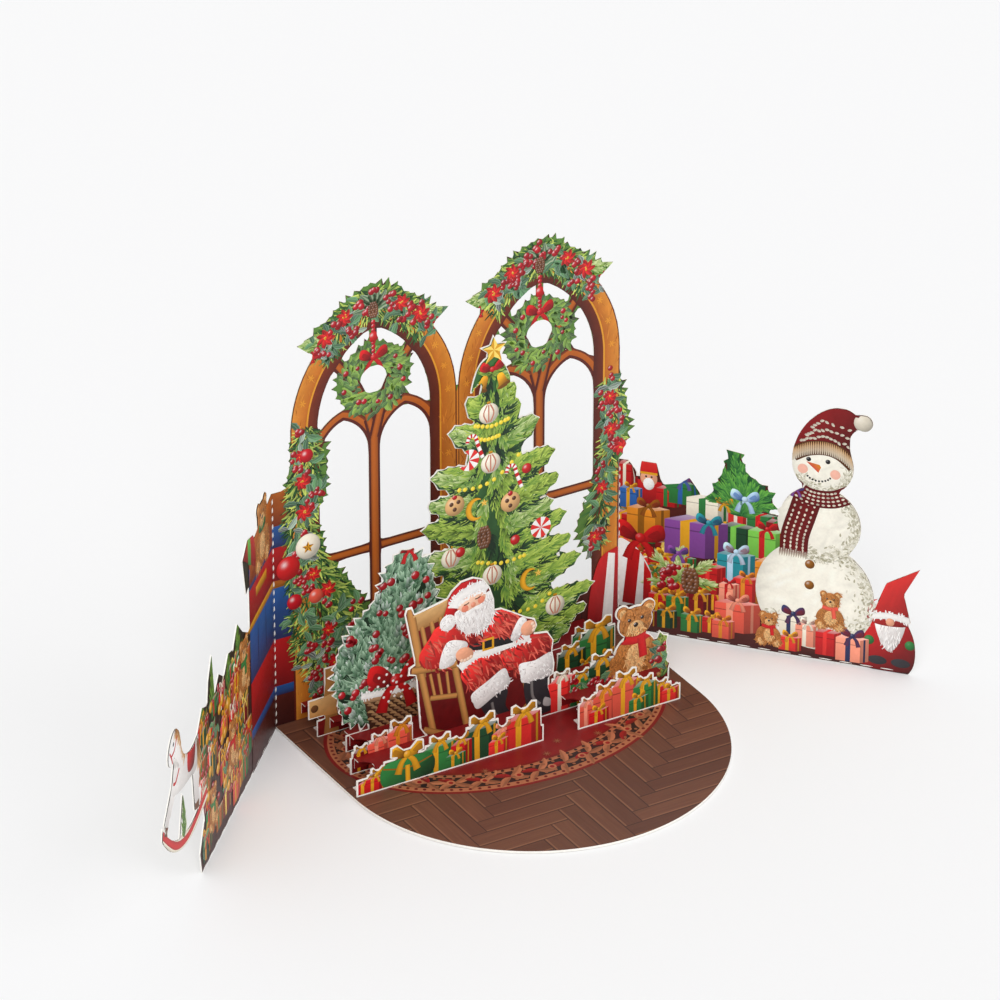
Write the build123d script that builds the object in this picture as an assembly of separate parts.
from build123d import *
import os
from math import acos, cos, degrees, radians, sin, tan

# A pop-up card that stands open: a folded screen, a floor board and four stepped picture layers.
# Millimetres, +Z up. The origin is the centre of the floor's round front edge, on its underside.
# The front of the card faces -Y. Picture outlines are drawn with x across and z up.

# Floor and folded screen
wall_width = 150.0
floor_straight = 60.0
left_wing_reach = 154.0
right_wing_reach = 119.0
left_wing_angle = 46.4
right_wing_angle = 48.9
left_fold_height = 100.0
right_fold_height = 73.5

# Sheet thicknesses, and the step of a cut along a smooth outline
card = 0.5
board = 1.0
cut_step = 2.0

# Arched windows of the screen
window_pitch = 71.0
window_shift = 4.2
window_half_width = 35.2
arch_radius = 52.0
arch_spring = 121.0
frame_width = 11.4
sill_height = 22.0
mullion_width = 4.8
tracery_width = 4.0
lancet_spring = 107.0
lancet_radius = 16.2
transom_height = 66.0
transom_width = 3.8
branch_rise = 36.0
branch_spread = 17.0

# Wreath, its hanging bow and the leafy edges
wreath_height = 136.0
wreath_radius = 14.8
wreath_hole = 5.6
wreath_bow_width = 12.0
drop_width = 3.2
tuft = 1.9
tuft_pitch = 3.4
crown_reach = 4.5
crown_cover = 8.0
crown_span = 0.56
sprig_length = 9.0

# Stepped layers, their feet and the shelf strips that link them
layer_pitch = 15.0
shelf_height = 8.0
foot_depth = 6.0
foot_inset = 2.0
strip_drop = 4.5
strip_inset = 1.5
strip_bite = 4.0

# Ends of the layers, measured in from the ends of the wall
tree_layer_inset = (9.6, 14.0)
basket_layer_inset = (13.4, 13.0)
santa_layer_inset = (6.8, 4.6)
gift_row_left_inset = (1.0, 69.0)
gift_row_right_inset = (96.0, 9.0)

# Tree: its axis, top and skirt, how far its boughs rise, and the tips of the boughs on each side
tree_x = 11.0
tree_top = 140.0
tree_skirt = 20.0
tree_core = 29.0
bough_rise = 6.5
bough_width = 13.5
bough_end_width = 8.0
bough_root = 0.25
needle = 0.9
needle_pitch = 2.2
star_radius = 6.0
left_boughs = [(-1.3, 124.0), (-8.8, 113.5), (-16.7, 97.0), (-17.4, 85.5), (-20.5, 76.0), (-24.5, 63.0),
               (-28.0, 49.0), (-30.0, 36.0), (-26.0, 24.0)]
right_boughs = [(21.0, 125.5), (23.0, 118.0), (31.0, 110.0), (38.2, 95.0), (39.5, 83.5), (37.5, 73.5),
                (43.5, 67.0), (45.0, 56.0), (50.0, 47.0), (55.7, 33.0), (52.0, 24.0), (45.0, 17.0)]

# Toy bear of the chair layer: place, seat height and size
bear_x = 55.0
bear_seat = 4.0
bear_size = 35.0

# Presents of the front rows: place across, width, height of the box, width of the bow
left_row = [(-70.0, 8.0, 6.5, 4.0), (-65.0, 9.0, 9.0, 6.0), (-52.5, 20.0, 12.5, 14.0), (-38.5, 13.0, 14.0, 9.0),
            (-29.5, 8.0, 12.0, 6.0), (-20.5, 14.0, 16.5, 11.0), (-11.5, 9.0, 11.5, 6.0), (-2.5, 15.0, 15.5, 11.0)]
right_row = [(25.5, 9.0, 12.0, 6.0), (33.0, 10.0, 15.0, 8.0), (42.0, 11.0, 17.5, 9.0), (50.5, 10.0, 13.5, 7.0),
             (57.5, 9.0, 10.0, 6.0), (63.0, 6.0, 7.0, 4.0)]

# Presents of the rocking chair layer, of the basket layer and of the tree layer
chair_left_row = [(-63.5, 8.0, 10.5, 6.0), (-55.5, 9.0, 13.0, 7.0), (-46.5, 10.0, 15.5, 9.0)]
chair_right_row = [(23.0, 9.0, 16.0, 7.0), (31.5, 9.0, 14.0, 7.0), (40.5, 10.0, 18.0, 9.0)]
basket_right_row = [(36.0, 12.0, 16.0, 8.0), (48.0, 15.0, 22.0, 12.0)]
tree_right_row = [(51.0, 11.0, 12.0, 8.0)]

wall_half = wall_width / 2
wall_front = floor_straight
window_places = [window_shift - window_pitch / 2, window_shift + window_pitch / 2]
opening_half_width = window_half_width - frame_width
opening_radius = arch_radius - frame_width
lancet_half_width = (opening_half_width - mullion_width / 2) / 2
lancet_place = opening_half_width - lancet_half_width
layer_fronts = [wall_front - step * layer_pitch for step in range(1, 5)]
tree_front, basket_front, santa_front, gift_front = layer_fronts


# Flat shapes

def block(x0, z0, x1, z1):
    """Rectangle between two corners."""
    return Pos((x0 + x1) / 2, (z0 + z1) / 2) * Rectangle(x1 - x0, z1 - z0)


def shape(*points):
    """Polygon with straight sides through the points, in order."""
    return make_face(Polyline(*points, close=True))


def rounded(*points):
    """Closed smooth outline through the points, in order, cut in short steps."""
    path = Spline(*points, periodic=True)
    count = round(path.length / cut_step)
    return shape(*[path @ (index / count) for index in range(count)])


def leafy(points, pitch=tuft_pitch, depth=tuft):
    """Smooth closed outline, run anticlockwise, with its edge broken into uneven pointed tufts."""
    path = Spline(*points, periodic=True)
    count = max(3, round(path.length / pitch))
    corners = []
    for index in range(2 * count):
        share = index / (2 * count)
        reach = 0.0
        if index % 2:
            share += 0.3 / (2 * count) * cos(index * 1.7)
            reach = depth * (1.0 + 0.7 * sin(index * 2.6))
        place = path @ share
        along = path % share
        corners.append((place.X + along.Y * reach, place.Y - along.X * reach))
    return shape(*corners)


def gothic(half_width, radius, spring, bottom):
    """Pointed arch on straight legs: two arcs that spring from the legs and meet at the top."""
    sweep = degrees(acos((radius - half_width) / radius))
    right = CenterArc((half_width - radius, spring), radius, 0, sweep)
    left = CenterArc((radius - half_width, spring), radius, 180 - sweep, sweep)
    legs = Polyline((-half_width, spring), (-half_width, bottom), (half_width, bottom), (half_width, spring))
    return make_face([right.edge(), left.edge(), *legs.edges()])


def bow(width):
    """Ribbon bow that sits on its knot at the origin: two loops and the knot between them."""
    half = width / 2
    return shape((-half * 0.3, -0.4), (-half * 1.02, half * 0.1), (-half, half * 0.7), (-half * 0.6, half * 0.8),
                 (-half * 0.2, half * 0.4), (half * 0.2, half * 0.4), (half * 0.6, half * 0.8),
                 (half, half * 0.7), (half * 1.02, half * 0.1), (half * 0.3, -0.4))


def presents(row):
    """Row of boxes that stand on the floor, each with a bow on its lid."""
    boxes = Sketch()
    for place, width, height, bow_width in row:
        boxes += block(place - width / 2, board, place + width / 2, height)
        boxes += Pos(place, height) * bow(bow_width)
    return boxes


def toy_bear(size):
    """Seated toy bear whose seat is at the origin: body with legs, head and two ears."""
    head_height = size * 0.75
    bear = Pos(0, size * 0.3) * Ellipse(size * 0.29, size * 0.32)
    bear += Pos(0, size * 0.13) * Ellipse(size * 0.33, size * 0.14)
    bear += Pos(0, head_height) * Ellipse(size * 0.22, size * 0.2)
    for side in (-1, 1):
        bear += Pos(side * size * 0.16, head_height + size * 0.15) * Circle(size * 0.09)
    return bear


# Folded screen

def branch():
    """Curved bar of the tracery, from the head of the mullion out to the right side of the arch."""
    foot = lancet_spring + 5.0
    half = tracery_width / 2
    head = foot + branch_rise
    under = ThreePointArc((half, foot), (branch_spread * 0.36 + half, foot + branch_rise * 0.53),
                          (branch_spread + half, head - half))
    over = ThreePointArc((branch_spread - half, head + half), (branch_spread * 0.36 - half, foot + branch_rise * 0.59),
                         (-half, foot))
    ends = [Line(under @ 1, over @ 0).edge(), Line(over @ 1, under @ 0).edge()]
    return make_face([under.edge(), over.edge(), *ends])


def window_openings():
    """See-through panes of one window: two lancets with a transom, and the tracery above them."""
    opening = gothic(opening_half_width, opening_radius, arch_spring, sill_height)
    bars = block(-opening_half_width, sill_height, opening_half_width, lancet_spring)
    bars += branch() + mirror(branch(), Plane.YZ)
    panes = Sketch()
    for side in (-1, 1):
        hood = gothic(lancet_half_width + tracery_width, lancet_radius + tracery_width, lancet_spring, sill_height)
        bars += Pos(side * lancet_place, 0) * hood
        panes += Pos(side * lancet_place, 0) * gothic(lancet_half_width, lancet_radius, lancet_spring, sill_height)
    transom = block(-opening_half_width, transom_height - transom_width / 2,
                    opening_half_width, transom_height + transom_width / 2)
    return (opening - bars) + (panes - transom)


def arch_point(offset, share):
    """Place on the right half of the arch, offset outwards, from its spring (0) to its top (1)."""
    radius = arch_radius + offset
    angle = acos((arch_radius - window_half_width) / radius) * share
    return (window_half_width - arch_radius + radius * cos(angle), arch_spring + radius * sin(angle))


def crown():
    """Evergreen swag over the top of the arch, with a sprig that sticks out at each end."""
    shares = [crown_span + (1 - crown_span) * step / 3 for step in range(3)]
    outer = [arch_point(crown_reach, share) for share in shares]
    inner = [arch_point(-crown_cover, share) for share in shares]
    right = outer + [(0, arch_point(crown_reach, 1)[1])]
    left = [(-x, z) for x, z in reversed(outer)]
    under = [(-x, z) for x, z in inner] + [(0, arch_point(-crown_cover, 1)[1])] + list(reversed(inner))
    swag = leafy(right + left + under)
    root_high = arch_point(0, crown_span + 0.07)
    root_low = arch_point(-2, crown_span - 0.01)
    tip = arch_point(sprig_length, crown_span - 0.06)
    notch_high = arch_point(sprig_length * 0.4, crown_span + 0.05)
    notch_low = arch_point(sprig_length * 0.3, crown_span - 0.05)
    sprig = shape(root_high, root_low, notch_low, tip, notch_high)
    return swag + sprig + mirror(sprig, Plane.YZ)


def wreath():
    """Ring of evergreen with the string and bow that hang it from the arch."""
    ring = [(wreath_radius * cos(radians(turn)), wreath_radius * sin(radians(turn))) for turn in range(0, 360, 45)]
    hung = Pos(0, wreath_height) * (leafy(ring) - Circle(wreath_hole))
    string_top = arch_point(-frame_width, 1)[1] + 2.0
    hung += block(-drop_width / 2, wreath_height + wreath_hole + 1.0, drop_width / 2, string_top)
    hung += Pos(0, wreath_height + wreath_hole + 2.5) * bow(wreath_bow_width)
    return hung


def side_greens():
    """Garlands that hang down the outer legs of the two windows."""
    left_edge = 4.0 - wall_half
    left = leafy([(left_edge, 40), (left_edge + 10, 12), (-48, 14), (-36, 24), (-33, 34), (-38, 47),
                  (-48, 61), (-54, 73), (-56, 84), (-53, 96), (-51.5, 108), (-55, 120), (-60, 124),
                  (left_edge + 6, 116), (left_edge + 3, 100), (left_edge, 80)])
    right_edge = wall_half + 4.0
    right = leafy([(60, 40), (66, 34), (wall_half - 5, 50), (wall_half - 2, 66), (right_edge - 2, 78),
                   (right_edge, 86), (right_edge - 1, 96), (wall_half, 106), (70.5, 111), (67, 102),
                   (68, 90), (66, 76), (62, 60)])
    return left + right


def wall_face():
    """Wall of the screen between its two creases, with both windows cut through."""
    wall = block(-wall_half, 0, wall_half, sill_height)
    wall += block(-wall_half, 0, -wall_half + 14.0, left_fold_height)
    wall += block(wall_half - 9.0, 0, wall_half, right_fold_height)
    for place in window_places:
        wall += Pos(place, 0) * gothic(window_half_width, arch_radius, arch_spring, 0)
    for place in window_places:
        wall -= Pos(place, 0) * window_openings()
    for place in window_places:
        wall += Pos(place, 0) * (crown() + wreath())
    wall += side_greens()
    past_fold = block(wall_half, 0, wall_half + 20.0, right_fold_height + 1.5)
    return wall - past_fold


def rocking_horse():
    """Toy horse on a curved rocker, drawn from the rocker's outer tip back towards the wing."""
    body = rounded((-46, 59), (-36, 59), (-28, 64), (-23, 76), (-18, 78), (-10, 69), (-14, 66),
                   (-18, 68), (-14, 57), (-18, 52), (-30, 49), (-42, 48), (-48, 51))
    fore_leg = shape((-20, 55), (-14, 58), (-3, 48), (-5, 43))
    hind_leg = shape((-48, 50), (-40, 50), (-42, 31), (-47, 30))
    runner = make_face([ThreePointArc((-57, 33), (-31, 29), (-1, 48)).edge(),
                        Line((-1, 48), (0, 43)).edge(),
                        ThreePointArc((0, 43), (-30, 24.5), (-58, 28)).edge(),
                        Line((-58, 28), (-57, 33)).edge()])
    sapling = shape((-33, 28), (-22, 31), (-27, 47))
    return body + fore_leg + hind_leg + runner + sapling


def left_wing_face():
    """Left wing: a toy chest with books and a bear, a heap of presents, and the rocking horse."""
    chest = block(0, 0, 33, left_fold_height - 14.0)
    books = shape((0, 80), (33, 80), (30, 94), (0, left_fold_height))
    bear = Pos(14, 78) * toy_bear(28)
    parcel = shape((24, 84), (37, 78), (41, 94), (34, 99), (26, 97))
    heap_end = left_wing_reach - 50
    heap = shape((0, 0), (heap_end, 0), (heap_end + 2, 9), (heap_end - 5, 20), (heap_end, 40), (heap_end + 5, 56),
                 (heap_end - 5, 66), (92, 63), (90, 72), (85, 80), (82, 62), (76, 67), (69, 62), (63, 68), (56, 66),
                 (50, 73), (43, 66), (33, 60))
    return chest + books + bear + parcel + heap + Pos(left_wing_reach, 0) * rocking_horse()


def snowman():
    """Snowman of three balls with a knitted hat and a bobble, drawn about the middle of its lowest ball."""
    balls = Pos(0, 28) * Circle(23) + Pos(1, 59) * Circle(16) + Pos(1.5, 84) * Circle(12)
    hat = rounded((-10.5, 86), (-9.5, 92), (-2.5, 104), (5.5, 109), (13, 108), (16, 103), (12.5, 99), (13.5, 85), (2.5, 91))
    return balls + hat + Pos(17, 104.5) * Circle(3.4)


def gnome():
    """Bearded garden gnome in a tall pointed hat, drawn from the tip of the hat back to the crease."""
    coat = rounded((-21, 2), (-2, 2), (-1, 12), (-6, 24), (-11, 28), (-16, 24), (-21, 12))
    return coat + shape((-19, 22), (-3, 22), (-6, 34), (0, 46), (-13, 38))


def right_wing_face():
    """Right wing: a heap of presents under a fir spray, the snowman and the gnome."""
    heap_end = right_wing_reach - 6
    heap = shape((0, 0), (heap_end, 0), (heap_end, 20), (70, 24), (67, 57), (62, 60), (50, 60), (45, 64), (33, 63),
                 (28, 70), (21, 64), (17, 66), (15, 74), (9, 74), (8, 68), (4, right_fold_height),
                 (0, right_fold_height))
    spray = leafy([(38, 62), (52, 58), (60, 62), (58, 70), (50, 76), (46, 84), (41, 74)], 4.0, 1.8)
    return heap + spray + Pos(right_wing_reach - 40.5, 0) * snowman() + Pos(right_wing_reach, 0) * gnome()


def standing_plane(x, y, angle):
    """Upright drawing plane whose x runs from a crease at the given turn about Z."""
    across = Vector(cos(radians(angle)), sin(radians(angle)), 0)
    return Plane(origin=(x, y, 0), x_dir=across, z_dir=across.cross(Vector(0, 0, 1)))


def crease(x, side, angle, height):
    """Bent strip of card that closes the outside of a fold from wall to wing."""
    turn = radians(angle)
    wing_back = (x + side * card * sin(turn), wall_front + card * cos(turn))
    mitre = (x + side * card * tan(turn / 2), wall_front + card)
    wall_back = (x, wall_front + card)
    return extrude(shape((x, wall_front), wing_back, mitre, wall_back), height)


def wall_screen():
    """The screen as one folded sheet: wall, two wings and the two creases."""
    wall_plane = standing_plane(0, wall_front, 0)
    left_plane = standing_plane(-wall_half, wall_front, 180 + left_wing_angle)
    right_plane = standing_plane(wall_half, wall_front, -right_wing_angle)
    screen = extrude(wall_plane * wall_face(), -card)
    screen += extrude(left_plane * left_wing_face(), card)
    screen += extrude(right_plane * right_wing_face(), -card)
    screen += crease(-wall_half, -1, left_wing_angle, left_fold_height)
    screen += crease(wall_half, 1, right_wing_angle, right_fold_height)
    return screen


# Floor and layers

def floor_base():
    """Floor board: straight sides back to the wall and a half-round front."""
    front = Circle(wall_half) - block(-wall_half, 0, wall_half, wall_half)
    return extrude(front + block(-wall_half, 0, wall_half, wall_front), board)


def span(insets):
    """Ends of a layer across the card, from its two distances in from the ends of the wall."""
    return insets[0] - wall_half, wall_half - insets[1]


def layer(picture, insets, front):
    """One stepped layer: its picture on a straight base, with a foot folded back on the floor."""
    x0, x1 = span(insets)
    face = picture + block(x0, board, x1, shelf_height)
    face -= block(-2 * wall_half, -2 * wall_half, 2 * wall_half, board)
    panel = extrude(standing_plane(0, front, 0) * face, -card)
    foot = block(x0 + foot_inset, front + card, x1 - foot_inset, front + card + foot_depth)
    return panel + extrude(Pos(0, 0, board) * foot, card)


def strip(insets, front, behind_insets):
    """Shelf strip from the back of one layer to the front of the next, with its two glue tabs."""
    x0 = max(span(insets)[0], span(behind_insets)[0]) + strip_inset
    x1 = min(span(insets)[1], span(behind_insets)[1]) - strip_inset
    near = front + card
    far = front + layer_pitch
    top = block(x0, near, x1, far)
    for end in (x0, x1):
        top -= Pos(end, (near + far) / 2) * Circle(strip_bite)
    shelf = extrude(Pos(0, 0, shelf_height - card) * top, card)
    for place in (near, far - card):
        tab = block(x0, place, x1, place + card)
        shelf += extrude(Pos(0, 0, shelf_height - strip_drop) * tab, strip_drop)
    return shelf


def star():
    """Five-pointed star on the tree's top."""
    corners = []
    for index in range(10):
        reach = star_radius if index % 2 == 0 else star_radius * 0.45
        turn = radians(90 + 36 * index)
        corners.append((reach * cos(turn), reach * sin(turn)))
    return Pos(tree_x, tree_top + star_radius * 0.6) * shape(*corners)


def bough(tip):
    """One bough that rises from inside the tree to its tip, with a round end and needles along both edges."""
    x, z = tip
    root_x = tree_x + bough_root * (x - tree_x)
    side = 1 if x > tree_x else -1
    steps = max(4, round(abs(x - root_x) / needle_pitch))
    upper = []
    lower = []
    for index in range(steps):
        share = index / steps
        tooth = needle if index % 2 else 0.0
        width = bough_width + (bough_end_width - bough_width) * share
        half = width / 2 * (1 - share ** 5) + tooth
        middle_x = root_x + (x - root_x) * share + side * tooth
        middle_z = z - bough_rise * (1 - share)
        upper.append((middle_x, middle_z + half))
        lower.append((middle_x, middle_z - half))
    return shape(*upper, (x, z), *reversed(lower))


def tree():
    """Fir tree: a slim cone with separate boughs on both sides, bells at its head, a trunk and a star."""
    slope = shape((tree_x, tree_top), (tree_x + 5, tree_top - 9), (tree_x + tree_core, tree_skirt),
                  (tree_x - tree_core, tree_skirt), (tree_x - 5, tree_top - 9))
    for tip in left_boughs + right_boughs:
        slope += bough(tip)
    bells = Pos(tree_x, tree_top) * rounded((-9, -12), (0, -10), (7, -12.5), (5, -4), (0, 1), (-7, -3))
    trunk = block(tree_x - 5, board, tree_x + 5, tree_skirt + 8)
    return slope + bells + trunk + star()


def tree_picture():
    """Tree with a bench arm of wood at its left and a present at its right foot."""
    arm = block(-69, 9.5, -58, 17.5)
    post = block(-62, board, -56.5, 29.5)
    return tree() + arm + post + presents(tree_right_row)


def basket_picture():
    """Wicker basket with a holly bush and a bow, and the presents at the right."""
    bush = leafy([(-60, 14), (-46, 10), (-26, 14), (-20, 30), (-22, 52), (-30, 76), (-36, 80),
                  (-44, 70), (-53, 57), (-64, 44), (-65, 30)], 4.0, 2.4)
    basket = shape((-50, board), (-26, board), (-22, 22), (-54, 22))
    return bush + basket + presents(basket_right_row)


def chair_and_sitter():
    """Bearded man in a hooded winter coat, leaning back in a rocking chair."""
    chair = shape((-44.6, 62.0), (-43.8, 64.6), (-41.4, 64.6), (-40.4, 61.2), (-26.0, 64.0), (-20.0, 40.0), (4.0, 20.0),
                  (8.0, 21.0), (10.4, 8.0), (4.0, 3.0), (-14.0, 2.0), (-36.0, 8.0), (-38.4, 12.0), (-40.0, 35.0),
                  (-43.2, 36.0), (-43.0, 39.0), (-40.4, 40.0))
    hood = shape((-30.2, 53.4), (-29.2, 56.6), (-27.8, 57.4), (-27.6, 62.2), (-24.8, 66.4), (-20.6, 69.4), (-15.6, 69.8),
                 (-11.2, 67.8), (-8.4, 63.6), (-6.6, 58.0), (-6.4, 53.2), (-10.0, 47.0), (-24.0, 47.0))
    coat = shape((-6.4, 53.4), (-3.4, 53.2), (3.0, 49.2), (7.4, 46.2), (11.0, 44.6), (12.0, 41.4), (10.4, 38.4),
                 (16.6, 37.4), (19.2, 33.0), (18.6, 28.6), (19.6, 23.0), (19.2, 18.4), (17.4, 17.6), (17.4, 12.4),
                 (22.0, 6.0), (21.2, 3.6), (17.2, 2.4), (8.8, 3.8), (6.4, 12.0), (3.2, 18.0), (0.4, 19.6), (-1.0, 11.0),
                 (3.2, 4.4), (-1.4, 0.4), (-8.2, 2.4), (-12.6, 14.0), (-21.0, 24.0), (-30.0, 35.4), (-34.0, 36.0),
                 (-38.4, 39.0), (-38.4, 44.4), (-34.0, 49.6), (-30.6, 53.2), (-24.4, 53.4))
    return chair + hood + coat


def santa_picture():
    """Rocking chair and its sitter between two runs of presents, with a toy bear and holly at the right."""
    holly = leafy([(62, 5), (68, 5), (69, 14), (68, 21), (63, 19)], 4.0, 1.6)
    bear = Pos(bear_x, bear_seat) * toy_bear(bear_size)
    return chair_and_sitter() + presents(chair_left_row) + presents(chair_right_row) + bear + holly


parts = {
    "wall_screen": wall_screen(),
    "floor_base": floor_base(),
    "tree_layer": layer(tree_picture(), tree_layer_inset, tree_front),
    "basket_layer": layer(basket_picture(), basket_layer_inset, basket_front),
    "santa_layer": layer(santa_picture(), santa_layer_inset, santa_front),
    "gift_row_left": layer(presents(left_row), gift_row_left_inset, gift_front),
    "gift_row_right": layer(presents(right_row), gift_row_right_inset, gift_front),
    "wall_strip": strip(tree_layer_inset, tree_front, (0.0, 0.0)),
    "tree_strip": strip(basket_layer_inset, basket_front, tree_layer_inset),
    "basket_strip": strip(santa_layer_inset, santa_front, basket_layer_inset),
    "gift_strip_left": strip(gift_row_left_inset, gift_front, santa_layer_inset),
    "gift_strip_right": strip(gift_row_right_inset, gift_front, santa_layer_inset),
}

os.makedirs("parts", exist_ok=True)
for name, solid in parts.items():
    export_step(solid, f"parts/{name}.step")
